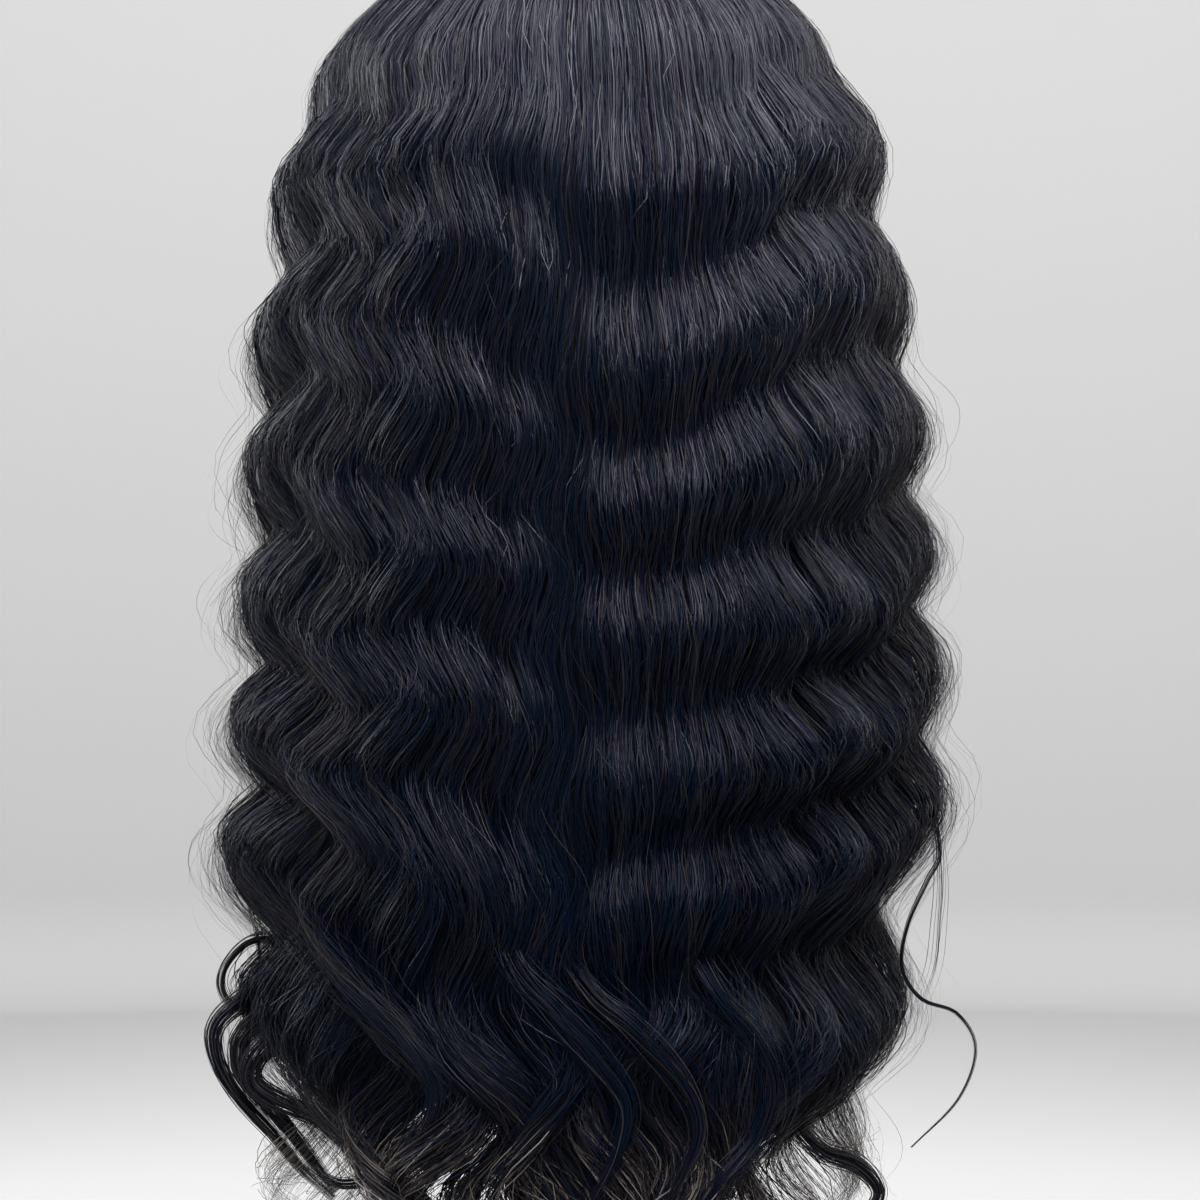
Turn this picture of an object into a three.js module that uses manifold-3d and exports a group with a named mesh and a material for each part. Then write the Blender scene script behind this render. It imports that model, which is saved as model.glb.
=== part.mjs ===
// A lace part wig: a stretch-net cap, a lace strip under the centre part, and long waved hair.
// Millimetres. +Z is up, the face side is towards -Y, and the origin is the top of the head in the cap.
// A turn is an angle round the head from the middle of the back, in degrees, positive towards the wearer's
// right, which is -X. A drop is a distance below the origin.
import * as THREE from "three";
import { mergeVertices } from "three/addons/utils/BufferGeometryUtils.js";
import Module from "manifold-3d";

const wasm = await Module();
wasm.setup();

// The head that the cap is made for, about 570 mm round.
const headHalfWidth = 78;
const headHalfLength = 100;
const widestDrop = 100; // from the top of the head down to its widest level
const napeTaper = 160; // how slowly the head narrows below that level

// Cap and lace.
const capWall = 1.5;
const capSegments = 36;
const capRings = 9;
const laceWall = 1;
const laceHalfWidth = 14;
const laceBackEnd = 34;
const laceGap = 0.3;
const capRim = [
  { turn: 0, drop: 150 },
  { turn: 45, drop: 143 },
  { turn: 80, drop: 116 },
  { turn: 100, drop: 102 },
  { turn: 122, drop: 104 },
  { turn: 150, drop: 78 },
  { turn: 180, drop: 62 },
];

// Hair. Half sizes of each level's outline, on the outside and the inside of the hair.
const hairSections = [
  { drop: 100, outLeft: 110, outRight: 111, outBack: 126, outFront: 118, inWide: 81.4, inDeep: 103.4 },
  { drop: 150, outLeft: 117, outRight: 119, outBack: 127, outFront: 117, inWide: 87, inDeep: 101 },
  { drop: 200, outLeft: 119, outRight: 123, outBack: 124, outFront: 115, inWide: 92, inDeep: 97 },
  { drop: 256, outLeft: 121, outRight: 126, outBack: 120, outFront: 113, inWide: 97, inDeep: 93 },
  { drop: 312, outLeft: 125, outRight: 127, outBack: 116, outFront: 111, inWide: 101, inDeep: 90 },
  { drop: 350, outLeft: 126, outRight: 113, outBack: 112, outFront: 110, inWide: 101, inDeep: 88 },
  { drop: 385, outLeft: 126, outRight: 112, outBack: 108, outFront: 108, inWide: 98, inDeep: 86 },
  { drop: 423, outLeft: 120, outRight: 102, outBack: 104, outFront: 105, inWide: 93, inDeep: 84 },
  { drop: 470, outLeft: 98, outRight: 89, outBack: 97, outFront: 101, inWide: 84, inDeep: 81 },
  { drop: 515, outLeft: 84, outRight: 80, outBack: 90, outFront: 97, inWide: 74, inDeep: 78 },
];
const hairEdgeTurn = 142; // the front edges of the hair, on both sides of the face
const edgeTurns = 9; // the hair thins over this turn at its front edges
const edgeDepth = 0.45; // share of the depth that is left at the edges
const crownSeat = 1.9; // from the cap's outside to the inside of the hair
const crownDepth = 14; // hair above the cap at the crown, before the roots thin it

// The part line runs back from the front hairline to the crown, in shares of the head's half length.
const partFront = -0.87;
const partBack = 0.22;
const crownTurn = 58; // hair within this turn grows from the back end of the part
const partHalfGap = 0.02;
const rootDepth = { crown: 0.6, front: 0.28 }; // share of the full depth of hair at the roots

// Waves. Drops of the crests at places round the head, as seen from behind. Low down the waves are longer.
const crestTurns = { left: -90, innerLeft: -40, middleLeft: -18, middle: 8, innerRight: 40, right: 85 };
const waveCrests = [
  { count: -1, left: 44, innerLeft: 40, middleLeft: 36, middle: 47, innerRight: 27, right: 25 },
  { count: 0, left: 95, innerLeft: 90, middleLeft: 88, middle: 106, innerRight: 78, right: 76 },
  { count: 1, left: 147, innerLeft: 141, middleLeft: 144, middle: 168, innerRight: 130, right: 127 },
  { count: 2, left: 199, innerLeft: 191, middleLeft: 197, middle: 211, innerRight: 184, right: 176 },
  { count: 3, left: 247, innerLeft: 242, middleLeft: 249, middle: 254, innerRight: 237, right: 222 },
  { count: 4, left: 284, innerLeft: 292, middleLeft: 307, middle: 306, innerRight: 285, right: 268 },
  { count: 5, left: 325, innerLeft: 347, middleLeft: 372, middle: 347, innerRight: 334, right: 315 },
  { count: 6, left: 390, innerLeft: 414, middleLeft: 446, middle: 408, innerRight: 395, right: 386 },
  { count: 7, left: 462, innerLeft: 488, middleLeft: 522, middle: 480, innerRight: 462, right: 456 },
  { count: 8, left: 540, innerLeft: 565, middleLeft: 600, middle: 556, innerRight: 532, right: 530 },
];
const crestRoundness = 0.15; // the crests are rounder than the hollows between them
const waveUnevenness = 0.45;
const waveHeights = [
  { drop: 20, out: 0, in: 0 },
  { drop: 50, out: 1.6, in: 0 },
  { drop: 80, out: 4.4, in: 0 },
  { drop: 120, out: 6, in: 0 },
  { drop: 160, out: 6.5, in: 0.6 },
  { drop: 260, out: 7.5, in: 4 },
  { drop: 340, out: 9, in: 6.5 },
  { drop: 420, out: 11.5, in: 10 },
  { drop: 520, out: 12.5, in: 12.5 },
];
// The hair swings along a direction that changes round the head.
const waveDirections = [
  { turn: -142, towards: -142, share: 0.5, lowShare: 0.5 },
  { turn: -100, towards: -112, share: 0.65, lowShare: 0.65 },
  { turn: -70, towards: -116, share: 1.1, lowShare: 1.3 },
  { turn: -45, towards: -120, share: 1.15, lowShare: 1.4 },
  { turn: -20, towards: -120, share: 0.85, lowShare: 1.15 },
  { turn: -8, towards: -112, share: 0.5, lowShare: 0.7 },
  { turn: -2, towards: -50, share: 0.3, lowShare: 0.4 },
  { turn: 5, towards: 0, share: 0.7, lowShare: 0.55 },
  { turn: 19, towards: 16, share: 0.85, lowShare: 0.75 },
  { turn: 30, towards: 45, share: 0.85, lowShare: 0.95 },
  { turn: 45, towards: 60, share: 0.95, lowShare: 1.15 },
  { turn: 70, towards: 78, share: 0.85, lowShare: 0.85 },
  { turn: 100, towards: 100, share: 0.6, lowShare: 0.5 },
  { turn: 142, towards: 142, share: 0.5, lowShare: 0.4 },
];
const lowShareDrops = { first: 230, last: 320 }; // where the low shares take over

// Locks. Each has a ridge along its middle, with valleys between locks, and ends in a tip of its own.
const lockCount = 22;
const lockUnevenness = 0.16; // share of a lock's width by which the valleys are moved
const lockRelief = [
  { drop: 0, ridge: 0.4, valley: -0.6 },
  { drop: 100, ridge: 1.4, valley: -2 },
  { drop: 300, ridge: 2, valley: -4 },
  { drop: 420, ridge: 2.2, valley: -5.5 },
];
const lockTips = [
  { turn: 0, drop: 508 },
  { turn: 30, drop: 496 },
  { turn: 60, drop: 470 },
  { turn: 90, drop: 446 },
  { turn: 120, drop: 438 },
  { turn: 142, drop: 430 },
];
const tipUnevenness = 9;
const tipWidth = 0.25; // share of the lock's width that is left at its tip
const tipDepth = 4;
const thinningDrop = 340; // the hair thins from here to the tips
const tipSweep = 5; // sideways sweep of the tips, outwards from the middle of the back
const splitDrop = 382; // below this the rows draw together towards shorter tips
const splitRows = { first: 3, spread: 5 }; // the locks part from each other at these rows further down
const tipRows = 12;

// The hair hangs in five falls, counted in locks from the front edge on the left.
const hairFalls = [
  { name: "hair_front_left", locks: 3 },
  { name: "hair_side_left", locks: 5 },
  { name: "hair_back", locks: 6 },
  { name: "hair_side_right", locks: 5 },
  { name: "hair_front_right", locks: 3 },
];
const fallHalfGap = 0.2;

// Rows of points down the hair: angles over the dome of the head, then even drops.
const domeAngles = [0, 15, 29, 41, 51, 59, 66, 72, 77.5, 82, 86, 90];
const rowStep = 8.5;

const hairMaterial = new THREE.MeshStandardMaterial({ color: 0x17181d, roughness: 0.42, metalness: 0 });
const capMaterial = new THREE.MeshStandardMaterial({ color: 0x1b1a1c, roughness: 0.9, metalness: 0 });
const laceMaterial = new THREE.MeshStandardMaterial({ color: 0x8a6a4f, roughness: 0.8, metalness: 0 });

const radians = THREE.MathUtils.degToRad;
const lerp = THREE.MathUtils.lerp;
const clamp = THREE.MathUtils.clamp;

// The smooth value of one column of a table at a place between its rows.
function column(table, place, name, at) {
  const last = table.length - 1;
  const here = clamp(at, table[0][place], table[last][place]);
  let row = 0;
  while (row < last - 1 && here > table[row + 1][place]) row += 1;
  const slope = (k) => {
    const before = table[Math.max(k - 1, 0)];
    const after = table[Math.min(k + 1, last)];
    return (after[name] - before[name]) / (after[place] - before[place]);
  };
  const span = table[row + 1][place] - table[row][place];
  const t = (here - table[row][place]) / span;
  const bend = t * t * (3 - 2 * t);
  const rise = span * t * (1 - t) * (slope(row) * (1 - t) - slope(row + 1) * t);
  return lerp(table[row][name], table[row + 1][name], bend) + rise;
}

// A closed surface from points and faces, as a buffer geometry.
function geometryOf(points, faces) {
  const geometry = new THREE.BufferGeometry();
  const places = points.flatMap((p) => p.toArray());
  geometry.setAttribute("position", new THREE.Float32BufferAttribute(places, 3));
  geometry.setIndex(faces.flat());
  return geometry;
}

function solidOf(geometry) {
  const bare = geometry.clone();
  bare.deleteAttribute("normal");
  bare.deleteAttribute("uv");
  const merged = mergeVertices(bare, 1e-4);
  return new wasm.Manifold(
    new wasm.Mesh({
      numProp: 3,
      vertProperties: merged.attributes.position.array,
      triVerts: new Uint32Array(merged.index.array),
    }),
  );
}

function geometryOfSolid(solid) {
  const mesh = solid.getMesh();
  const geometry = new THREE.BufferGeometry();
  geometry.setAttribute("position", new THREE.BufferAttribute(mesh.vertProperties, 3));
  geometry.setIndex(new THREE.BufferAttribute(mesh.triVerts, 1));
  return geometry;
}

// A point of the head's form, grown outwards, at a polar angle from the top.
function headPoint(turn, polar, grow) {
  const height = polar <= Math.PI / 2 ? widestDrop + grow : napeTaper;
  const around = radians(turn);
  return new THREE.Vector3(
    -(headHalfWidth + grow) * Math.sin(polar) * Math.sin(around),
    (headHalfLength + grow) * Math.sin(polar) * Math.cos(around),
    height * Math.cos(polar) - widestDrop,
  );
}

function rimPolar(turn) {
  const below = column(capRim, "turn", "drop", Math.abs(turn)) - widestDrop;
  return Math.acos(-below / (below > 0 ? napeTaper : widestDrop));
}

// The cap's whole dome as one wall, open at the rim.
function domeWall(wall) {
  const points = [headPoint(0, 0, 0), headPoint(0, 0, wall)];
  const faces = [];
  const at = (side, ring, segment) => {
    if (ring === 0) return side;
    return 2 + ((ring - 1) * capSegments + (segment % capSegments)) * 2 + side;
  };
  for (let ring = 1; ring <= capRings; ring += 1) {
    for (let segment = 0; segment < capSegments; segment += 1) {
      const turn = (segment / capSegments) * 360 - 180;
      const polar = (rimPolar(turn) * ring) / capRings;
      points.push(headPoint(turn, polar, 0), headPoint(turn, polar, wall));
    }
  }
  for (let segment = 0; segment < capSegments; segment += 1) {
    for (let ring = 0; ring < capRings; ring += 1) {
      for (const side of [0, 1]) {
        const a = at(side, ring, segment);
        const b = at(side, ring, segment + 1);
        const c = at(side, ring + 1, segment + 1);
        const d = at(side, ring + 1, segment);
        const turned = side === 1 ? [[d, c, a], [c, b, a]] : [[a, c, d], [a, b, c]];
        faces.push(...turned.filter((f) => new Set(f).size === 3));
      }
    }
    const inner = [at(0, capRings, segment), at(0, capRings, segment + 1)];
    const outer = [at(1, capRings, segment), at(1, capRings, segment + 1)];
    faces.push([inner[0], inner[1], outer[1]], [inner[0], outer[1], outer[0]]);
  }
  return solidOf(geometryOf(points, faces));
}

// The block over the part line that the lace is cut from.
function laceBlock(grow) {
  const front = -headHalfLength - 10;
  const length = laceBackEnd + grow - front;
  const height = widestDrop + 20;
  const block = new THREE.BoxGeometry(2 * (laceHalfWidth + grow), length, height);
  block.translate(0, front + length / 2, 10 - height / 2);
  return solidOf(block);
}

// How far forward along the part the hair at a turn grows, from 0 at the crown to 1 at the hairline.
function frontShare(turn) {
  return clamp((Math.abs(turn) - crownTurn) / (hairEdgeTurn - crownTurn), 0, 1);
}

// Where the hair at a turn grows from, in shares of the head's half sizes.
function rootPlace(turn) {
  const fan = clamp(turn / crownTurn, -1, 1) * (Math.PI / 2);
  const x = partHalfGap * Math.sin(fan);
  const y = lerp(partBack, partFront, frontShare(turn)) + partHalfGap * Math.cos(fan);
  return new THREE.Vector3(x, y, Math.sqrt(1 - x * x - y * y));
}

// A still point on the hair's inside ("in") or outside ("out"). A row is an angle over the dome of the
// head, or a drop below its widest level.
function hairPoint(turn, row, side) {
  const sine = Math.sin(radians(turn));
  const cosine = Math.cos(radians(turn));
  const size = (name) => column(hairSections, "drop", name, row.drop ?? widestDrop);
  const wide = side === "in" ? size("inWide") : size(sine > 0 ? "outRight" : "outLeft");
  const reach = side === "in" ? size("inDeep") : size(cosine > 0 ? "outBack" : "outFront");
  if (row.drop !== undefined) return new THREE.Vector3(-wide * sine, reach * cosine, -row.drop);
  const root = rootPlace(turn);
  const swing = Math.sin(radians(row.angle));
  const way = new THREE.Vector3(
    lerp(root.x, sine, swing),
    lerp(root.y, cosine, swing),
    root.z * Math.cos(radians(row.angle)),
  ).normalize();
  const thin = lerp(lerp(rootDepth.crown, rootDepth.front, frontShare(turn)), 1, swing);
  const share = side === "in" ? 0 : thin;
  return new THREE.Vector3(
    -way.x * lerp(headHalfWidth + capWall + crownSeat, wide, share),
    way.y * lerp(headHalfLength + capWall + crownSeat, reach, share),
    way.z * (widestDrop + capWall + crownSeat + crownDepth * share) - widestDrop,
  );
}

// Drops of all the crests at a turn.
function crestsAt(turn) {
  return waveCrests.map((row) => {
    const round = Object.entries(crestTurns).map(([place, at]) => ({ turn: at, drop: row[place] }));
    return { count: row.count, drop: column(round, "turn", "drop", turn) };
  });
}

// The swing of the waves at a place.
function waveAt(turn, drop, side) {
  const uneven = waveUnevenness * Math.sin(radians(5 * turn) + 1.1);
  const phase = column(crestsAt(turn), "drop", "count", drop) * 2 * Math.PI + uneven;
  const towards = radians(column(waveDirections, "turn", "towards", turn));
  const low = THREE.MathUtils.smoothstep(drop, lowShareDrops.first, lowShareDrops.last);
  const share = column(waveDirections, "turn", "share", turn);
  const lowShare = column(waveDirections, "turn", "lowShare", turn);
  const height = column(waveHeights, "drop", side, drop) * lerp(share, lowShare, low);
  const size = height * (Math.cos(phase) - crestRoundness * Math.cos(2 * phase));
  return new THREE.Vector3(-size * Math.sin(towards), size * Math.cos(towards), 0);
}

// How far down the tips reach at a turn.
function tipDrop(turn) {
  return column(lockTips, "turn", "drop", Math.abs(turn));
}

// A point of a lock, waved, with the inside drawn up to the outside towards the tip and the hair thinned
// towards its front edges.
function lockPoint(turn, row, side) {
  const inside = hairPoint(turn, row, "in");
  const outside = hairPoint(turn, row, "out");
  const drop = -outside.z;
  const edge = clamp((hairEdgeTurn - Math.abs(turn)) / edgeTurns, 0, 1);
  outside.lerpVectors(inside, outside, lerp(edgeDepth, 1, edge));
  outside.add(waveAt(turn, drop, "out"));
  if (side === "out") return outside;
  inside.add(waveAt(turn, drop, "in"));
  const drawn = THREE.MathUtils.smoothstep(drop, thinningDrop, tipDrop(turn));
  const left = Math.min(1, tipDepth / inside.distanceTo(outside));
  return inside.lerp(outside, drawn * (1 - left));
}

// Turns of the valleys between locks, with the front edges first and last.
const lockStep = (2 * hairEdgeTurn) / lockCount;
const valleyTurns = Array.from({ length: lockCount + 1 }, (_, k) => {
  const moved = k > 0 && k < lockCount ? lockUnevenness * Math.sin(2.4 * k + 0.7) : 0;
  return lockStep * (k + moved) - hairEdgeTurn;
});

// Rows that all locks share, from the roots to the level where the locks part.
const sharedRows = domeAngles.map((angle) => ({ angle }));
for (let drop = widestDrop + rowStep; drop < splitDrop; drop += rowStep) {
  sharedRows.push({ drop });
}
const lastShared = sharedRows.length - 1;
const lastRow = lastShared + tipRows;

// The row of points at one turn, with the rows near the tips drawn out by an extra length.
function rowAt(k, turn, longer) {
  if (k <= lastShared) return sharedRows[k];
  const end = tipDrop(turn) + longer;
  return { drop: lerp(sharedRows[lastShared].drop, end, (k - lastShared) / tipRows) };
}

// The row at which the valley between two locks opens, and how far it has opened at a later row.
function splitRow(valley) {
  return lastShared + splitRows.first + ((valley * 3) % splitRows.spread);
}

function opening(valley, k) {
  return clamp((k - splitRow(valley)) / (lastRow - splitRow(valley)), 0, 1) ** 2;
}

// One lock's points, row by row: left edge, ridge and right edge outside, then right and left inside.
function lockRows(lock, leftGap, rightGap) {
  const middle = (valleyTurns[lock] + valleyTurns[lock + 1]) / 2;
  const longer = tipUnevenness * Math.sin(1.9 * lock);
  const swept = tipSweep * (Math.sin(radians(middle)) + 0.8 * Math.sin(2.1 * lock + 0.4));
  return Array.from({ length: lastRow + 1 }, (_, k) => {
    const place = (turn, side, open, relief, aside) => {
      const row = rowAt(k, turn, longer * open);
      const point = lockPoint(turn, row, side);
      const away = new THREE.Vector3(point.x, point.y, Math.max(point.z + widestDrop, 0)).normalize();
      const across = new THREE.Vector3(-Math.cos(radians(turn)), -Math.sin(radians(turn)), 0);
      const drop = row.drop ?? (widestDrop * row.angle) / 90;
      const proud = relief === "" ? 0 : column(lockRelief, "drop", relief, drop);
      return point.addScaledVector(away, proud).addScaledVector(across, aside + swept * open);
    };
    const leftOpen = opening(lock, k);
    const rightOpen = opening(lock + 1, k);
    const leftTurn = lerp(valleyTurns[lock], middle, (1 - tipWidth) * leftOpen);
    const rightTurn = lerp(valleyTurns[lock + 1], middle, (1 - tipWidth) * rightOpen);
    const ridgeOpen = (leftOpen + rightOpen) / 2;
    return [
      place(leftTurn, "out", leftOpen, "valley", leftGap),
      place(middle, "out", ridgeOpen, "ridge", 0),
      place(rightTurn, "out", rightOpen, "valley", -rightGap),
      place(rightTurn, "in", rightOpen, "", -rightGap),
      place(leftTurn, "in", leftOpen, "", leftGap),
    ];
  });
}

// One fall of hair: neighbouring locks joined along their valleys down to where these open.
function fallGeometry(firstLock, count) {
  const points = [];
  const faces = [];
  for (let lock = firstLock; lock < firstLock + count; lock += 1) {
    const isFirst = lock === firstLock;
    const isLast = lock === firstLock + count - 1;
    const rows = lockRows(lock, isFirst ? fallHalfGap : 0, isLast ? fallHalfGap : 0);
    const start = points.length;
    const at = (row, place) => start + row * 5 + place;
    points.push(...rows.flat());
    for (let k = 0; k < lastRow; k += 1) {
      const [leftOut, ridge, rightOut, rightIn, leftIn] = [0, 1, 2, 3, 4].map((p) => at(k, p));
      const [leftOutB, ridgeB, rightOutB, rightInB, leftInB] = [0, 1, 2, 3, 4].map((p) => at(k + 1, p));
      faces.push([leftOut, leftOutB, ridgeB], [leftOut, ridgeB, ridge]);
      faces.push([ridge, ridgeB, rightOutB], [ridge, rightOutB, rightOut]);
      faces.push([leftIn, rightIn, rightInB], [leftIn, rightInB, leftInB]);
      if (isFirst || k >= splitRow(lock)) {
        faces.push([leftIn, leftInB, leftOutB], [leftIn, leftOutB, leftOut]);
      }
      if (isLast || k >= splitRow(lock + 1)) {
        faces.push([rightIn, rightOutB, rightInB], [rightIn, rightOut, rightOutB]);
      }
    }
    const [leftOut, ridge, rightOut, rightIn, leftIn] = [0, 1, 2, 3, 4].map((p) => at(0, p));
    faces.push([leftIn, leftOut, ridge], [leftIn, ridge, rightIn], [rightIn, ridge, rightOut]);
    const [leftTip, ridgeTip, rightTip, rightInTip, leftInTip] = [0, 1, 2, 3, 4].map((p) => at(lastRow, p));
    faces.push([leftInTip, ridgeTip, leftTip], [leftInTip, rightInTip, ridgeTip]);
    faces.push([rightInTip, rightTip, ridgeTip]);
  }
  return mergeVertices(geometryOf(points, faces), 1e-4);
}

const wig = new THREE.Group();
wig.name = "lace_part_wig";

function addPiece(name, geometry, material) {
  const mesh = new THREE.Mesh(geometry, material);
  mesh.name = name;
  wig.add(mesh);
}

addPiece("cap", geometryOfSolid(domeWall(capWall).subtract(laceBlock(laceGap))), capMaterial);
addPiece("lace_part", geometryOfSolid(domeWall(laceWall).intersect(laceBlock(0))), laceMaterial);
let nextLock = 0;
for (const fall of hairFalls) {
  addPiece(fall.name, fallGeometry(nextLock, fall.locks), hairMaterial);
  nextLock += fall.locks;
}

export default wig;
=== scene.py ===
import math

import bpy
import numpy as np
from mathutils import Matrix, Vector


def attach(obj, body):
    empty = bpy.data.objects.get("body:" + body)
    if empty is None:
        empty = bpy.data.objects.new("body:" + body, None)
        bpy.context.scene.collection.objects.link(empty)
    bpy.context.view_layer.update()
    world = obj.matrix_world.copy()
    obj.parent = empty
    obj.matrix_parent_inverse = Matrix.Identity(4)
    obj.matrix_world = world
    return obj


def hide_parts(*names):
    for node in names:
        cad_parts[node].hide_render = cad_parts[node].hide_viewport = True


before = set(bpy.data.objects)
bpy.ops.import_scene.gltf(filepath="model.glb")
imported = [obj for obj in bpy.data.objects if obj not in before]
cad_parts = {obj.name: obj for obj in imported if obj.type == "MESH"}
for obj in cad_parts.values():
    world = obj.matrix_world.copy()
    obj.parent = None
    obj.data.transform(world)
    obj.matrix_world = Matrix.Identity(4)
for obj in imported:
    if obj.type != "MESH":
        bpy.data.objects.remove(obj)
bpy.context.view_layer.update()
mm = 0.001
circle = 2 * math.pi
tiny = 1e-9
rng = np.random.default_rng(22)

# The form of the hair as the solids have it, in millimetres and degrees. A turn goes round the head from the
# middle of the back, positive towards the wearer's right (-X). A drop is a distance below the top of the head.
hairForm = {
    "widestDrop": 100,
    "insideTall": 103.4, "crownDepth": 14,      # inside height over the widest level, and hair on top
    "edgeTurn": 142, "edgeFade": 9, "edgeDepth": 0.45,
    "partFront": -0.87, "partBack": 0.22, "crownTurn": 58, "partHalfGap": 0.02,
    "crownRoot": 0.6, "frontRoot": 0.28,        # share of the full depth at the roots
    "thinningDrop": 340, "drawnShare": 0.8,     # the inside is drawn up to the outside near the tips
    "locks": 22, "lockUnevenness": 0.16, "lockRhythm": (2.4, 0.7),
    "tipWidth": 0.35, "tipUnevenness": 9, "tipRhythm": 1.9, "tipSweep": 5, "sweepRhythm": (0.8, 2.1, 0.4),
    "openLimit": 1.2, "openCurve": 1.5,         # how a lock draws together towards its tip
    "crestRoundness": 0.15, "roundTurns": (40, 90),
}
hairSections = {
    "drop":     (100, 150, 200, 256, 312, 350, 385, 423, 470, 515),
    "outLeft":  (110, 117, 119, 121, 125, 124, 115, 107, 95, 84),   # narrower low down, inside the loops
    "outRight": (111, 119, 123, 126, 127, 113, 112, 102, 89, 80),
    "outBack":  (126, 127, 124, 120, 116, 112, 108, 104, 97, 90),
    "outFront": (118, 117, 115, 113, 111, 110, 108, 105, 101, 97),
    "inWide":   (81.4, 87, 92, 97, 101, 101, 98, 93, 84, 74),
    "inDeep":   (103.4, 101, 97, 93, 90, 88, 86, 84, 81, 78),
}
crestTurns = (-90, -40, -18, 8, 40, 85)
waveCrests = (      # drops of each crest at those turns, from the top
    (44, 40, 36, 47, 27, 25),
    (95, 90, 88, 106, 78, 76),
    (147, 141, 144, 168, 130, 127),
    (199, 191, 197, 211, 184, 176),
    (247, 242, 249, 254, 237, 222),
    (284, 292, 307, 306, 285, 268),
    (325, 347, 372, 347, 334, 315),
    (390, 414, 446, 408, 395, 386),
    (462, 488, 522, 480, 462, 456),
    (540, 565, 600, 556, 532, 530),
)
waveHeights = {
    "drop": (20, 50, 80, 120, 160, 260, 340, 420, 520),
    "out":  (0.8, 2.4, 4.4, 6, 6.5, 7.5, 9, 11.5, 12.5),
    "in":   (0, 0, 0, 0, 0.6, 4, 6.5, 10, 12.5),
}
waveDirections = {      # the turn that the waves swing towards, and the share of their height
    "turn":       (-142, -100, -70, -45, -20, -8, -2, 5, 19, 30, 45, 70, 100, 142),
    "towards":    (-142, -112, -118, -128, -138, -135, -60, 0, 16, 42, 58, 78, 100, 142),
    "topTowards": (-142, -105, -100, -88, -72, -58, -30, 0, 16, 42, 58, 78, 100, 142),
    "tipTowards": (-142, -112, -112, -114, -110, -106, -102, -98, -80, -10, 62, 80, 100, 142),
    "share":      (0.5, 0.65, 1.2, 1.3, 1.0, 0.6, 0.3, 0.7, 0.85, 0.95, 1.1, 0.9, 0.6, 0.5),
    "lowShare":   (0.5, 0.65, 1.3, 1.4, 1.15, 0.7, 0.4, 0.55, 0.75, 0.95, 1.15, 0.85, 0.5, 0.4),
    "topShare":   (0.5, 1.0, 1.7, 1.4, 0.8, 0.6, 0.5, 0.65, 0.85, 1.05, 1.5, 1.6, 1.0, 0.5),
    "tipShare":   (0.5, 0.65, 1.2, 1.35, 1.25, 0.95, 0.8, 0.85, 0.9, 0.6, 1.1, 0.9, 0.5, 0.4),
    "top": (60, 115),       # drops between which the waves of the top end
    "low": (230, 320),      # drops between which the low shares take over
    "tip": (350, 415),      # drops between which the locks begin to swing sideways
}
crestDrift = {"by": 0.45, "turns": 5, "start": 1.1}     # crests come a little early or late round the head
lockRelief = {
    "drop":   (0, 100, 300, 420),
    "ridge":  (0.3, 0.8, 1.4, 2),
    "valley": (-0.3, -0.8, -1.8, -4.5),
}
lockTips = {"turn": (0, 30, 60, 90, 120, 142), "drop": (508, 496, 470, 446, 438, 430)}
lockSplits = {
    "turn": (-142, -90, -58, -27, -6, 20, 55, 90, 142),
    "drop": (395, 392, 410, 378, 440, 445, 425, 405, 395),
}
lockShiftForm = {
    "most": 0.25, "rhythm": (2.3, 0.5), "fadeTurn": 95, "fadeOver": 40, "least": 0.2,
    "evenTurns": (-3, 24),
}
sweeps = (          # places where the hair is drawn sideways low down
    {"turn": -62, "spread": 34, "first": 290, "last": 425, "by": 11},
    {"turn": 60, "spread": 30, "first": 330, "last": 440, "by": -6},
)


def mix(a, b, t):
    return a + (b - a) * t


def smoothStep(low, high, at):
    t = np.clip((at - low) / (high - low), 0, 1)
    return t * t * (3 - 2 * t)


def smoothColumn(table, place, name, at):
    places, values = np.asarray(table[place], float), np.asarray(table[name], float)
    slopes = np.gradient(values, places, edge_order=1)
    slopes[1:-1] = (values[2:] - values[:-2]) / (places[2:] - places[:-2])
    at = np.clip(at, places[0], places[-1])
    row = np.clip(np.searchsorted(places, at) - 1, 0, len(places) - 2)
    span = places[row + 1] - places[row]
    t = (at - places[row]) / span
    rise = span * t * (1 - t) * (slopes[row] * (1 - t) - slopes[row + 1] * t)
    return mix(values[row], values[row + 1], t * t * (3 - 2 * t)) + rise


def tipDrop(turn):
    return smoothColumn(lockTips, "turn", "drop", np.abs(turn))


# valleys between the main locks, with the front edges first and last
lockStep = 2 * hairForm["edgeTurn"] / hairForm["locks"]


def valleyTurn(k):
    pace, start = hairForm["lockRhythm"]
    uneven = hairForm["lockUnevenness"] * math.sin(pace * k + start) if 0 < k < hairForm["locks"] else 0
    return lockStep * (k + uneven) - hairForm["edgeTurn"]


valleyTurns = np.array([valleyTurn(k) for k in range(hairForm["locks"] + 1)])
lockMiddles = (valleyTurns[1:] + valleyTurns[:-1]) / 2


def wavePhases():
    # each lock waves a little before or after its neighbours, except the straight ones right of the middle
    form = lockShiftForm
    pace, start = form["rhythm"]
    near = np.clip((form["fadeTurn"] - np.abs(lockMiddles)) / form["fadeOver"], form["least"], 1)
    phases = form["most"] * np.sin(pace * np.arange(hairForm["locks"]) + start) * near
    first, last = form["evenTurns"]
    phases[(lockMiddles > first) & (lockMiddles < last)] = 0
    return phases


lockShifts = wavePhases()


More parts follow.
